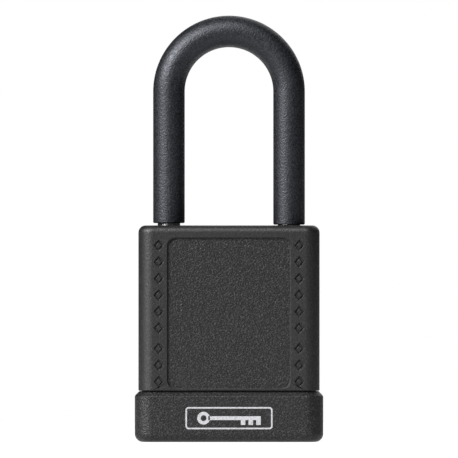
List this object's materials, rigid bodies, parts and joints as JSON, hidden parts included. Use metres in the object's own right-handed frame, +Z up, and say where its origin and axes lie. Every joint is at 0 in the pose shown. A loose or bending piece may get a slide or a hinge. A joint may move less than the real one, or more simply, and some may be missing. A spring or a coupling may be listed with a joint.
{
  "type": "safety padlock",
  "caption": "Rectangular plastic-covered safety padlock with a long sheathed shackle, a pin cylinder and ball locking.",
  "frame": {"origin": "middle of the flat bottom face of the cap", "axes": "+Z up along the shackle legs, -Y out of the front label face, +X to the right seen from the front, on the toe leg's side"},
  "size_m": [0.0416, 0.0226, 0.0943],
  "materials": {
    "cover_plastic": "fine spark-eroded grain, matte near-black",
    "sheath_nylon": "fine grain, satin near-black",
    "aluminium": "extruded and machined",
    "steel": "turned and plated",
    "spring_steel": "drawn wire",
    "brass": "machined",
    "nickel": "satin nickel plate"
  },
  "bodies": {
    "case": {"upper_cover": "cover_plastic", "bottom_cap": "cover_plastic", "lock_body": "aluminium", "ball_bore_plug": "aluminium", "shackle_spring": "spring_steel", "heel_retaining_pin": "steel", "housing_retaining_pin": "steel", "cylinder_housing": "brass", "pin_spring_1": "spring_steel", "pin_spring_2": "spring_steel", "pin_spring_3": "spring_steel", "pin_spring_4": "spring_steel", "pin_spring_5": "spring_steel", "pin_spring_6": "spring_steel"},
    "shackle": {"shackle_core": "steel", "shackle_sheath": "sheath_nylon"},
    "cylinder": {"plug": "brass", "plug_clip": "spring_steel", "locking_cam": "nickel"},
    "ball_heel": {"locking_ball_heel": "steel"},
    "ball_toe": {"locking_ball_toe": "steel"},
    "key_pin_body_1": {"key_pin_1": "brass"},
    "key_pin_body_2": {"key_pin_2": "brass"},
    "key_pin_body_3": {"key_pin_3": "brass"},
    "key_pin_body_4": {"key_pin_4": "brass"},
    "key_pin_body_5": {"key_pin_5": "brass"},
    "key_pin_body_6": {"key_pin_6": "brass"},
    "driver_pin_body_1": {"driver_pin_1": "nickel"},
    "driver_pin_body_2": {"driver_pin_2": "nickel"},
    "driver_pin_body_3": {"driver_pin_3": "nickel"},
    "driver_pin_body_4": {"driver_pin_4": "nickel"},
    "driver_pin_body_5": {"driver_pin_5": "nickel"},
    "driver_pin_body_6": {"driver_pin_6": "nickel"}
  },
  "joints": [
    {"name": "plug_turn", "type": "hinge", "parent": "case", "child": "cylinder", "pos_m": [0, 0, 0.02], "axis": [0, 0, 1], "range_deg": [-90, 0]},
    {"name": "ball_heel_slide", "type": "slide", "parent": "case", "child": "ball_heel", "axis": [-1, 0, 0], "range_m": [0, 0.00135]},
    {"name": "ball_toe_slide", "type": "slide", "parent": "case", "child": "ball_toe", "axis": [1, 0, 0], "range_m": [0, 0.00135]},
    {"name": "shackle_lift", "type": "slide", "parent": "case", "child": "shackle", "axis": [0, 0, 1], "range_m": [0, 0.014], "deforming": ["shackle_spring"]},
    {"name": "driver_pin_1_slide", "type": "slide", "parent": "case", "child": "driver_pin_body_1", "axis": [1, 0, 0], "range_m": [0, 0.0015], "stiffness_N_per_m": 60, "deforming": ["pin_spring_1"]},
    {"name": "driver_pin_2_slide", "type": "slide", "parent": "case", "child": "driver_pin_body_2", "axis": [1, 0, 0], "range_m": [0, 0.0015], "stiffness_N_per_m": 60, "deforming": ["pin_spring_2"]},
    {"name": "driver_pin_3_slide", "type": "slide", "parent": "case", "child": "driver_pin_body_3", "axis": [1, 0, 0], "range_m": [0, 0.0015], "stiffness_N_per_m": 60, "deforming": ["pin_spring_3"]},
    {"name": "driver_pin_4_slide", "type": "slide", "parent": "case", "child": "driver_pin_body_4", "axis": [1, 0, 0], "range_m": [0, 0.0015], "stiffness_N_per_m": 60, "deforming": ["pin_spring_4"]},
    {"name": "driver_pin_5_slide", "type": "slide", "parent": "case", "child": "driver_pin_body_5", "axis": [1, 0, 0], "range_m": [0, 0.0015], "stiffness_N_per_m": 60, "deforming": ["pin_spring_5"]},
    {"name": "driver_pin_6_slide", "type": "slide", "parent": "case", "child": "driver_pin_body_6", "axis": [1, 0, 0], "range_m": [0, 0.0015], "stiffness_N_per_m": 60, "deforming": ["pin_spring_6"]},
    {"name": "key_pin_1_slide", "type": "slide", "parent": "cylinder", "child": "key_pin_body_1", "axis": [0, -1, 0], "range_m": [0, 0.001]},
    {"name": "key_pin_2_slide", "type": "slide", "parent": "cylinder", "child": "key_pin_body_2", "axis": [0, -1, 0], "range_m": [0, 0.001]},
    {"name": "key_pin_3_slide", "type": "slide", "parent": "cylinder", "child": "key_pin_body_3", "axis": [0, -1, 0], "range_m": [0, 0.001]},
    {"name": "key_pin_4_slide", "type": "slide", "parent": "cylinder", "child": "key_pin_body_4", "axis": [0, -1, 0], "range_m": [0, 0.001]},
    {"name": "key_pin_5_slide", "type": "slide", "parent": "cylinder", "child": "key_pin_body_5", "axis": [0, -1, 0], "range_m": [0, 0.001]},
    {"name": "key_pin_6_slide", "type": "slide", "parent": "cylinder", "child": "key_pin_body_6", "axis": [0, -1, 0], "range_m": [0, 0.001]}
  ],
  "couplings": [
    {"joint": "ball_heel_slide", "follows": "plug_turn", "m_per_rad": -0.00085943},
    {"joint": "ball_toe_slide", "follows": "plug_turn", "m_per_rad": -0.00085943}
  ]
}
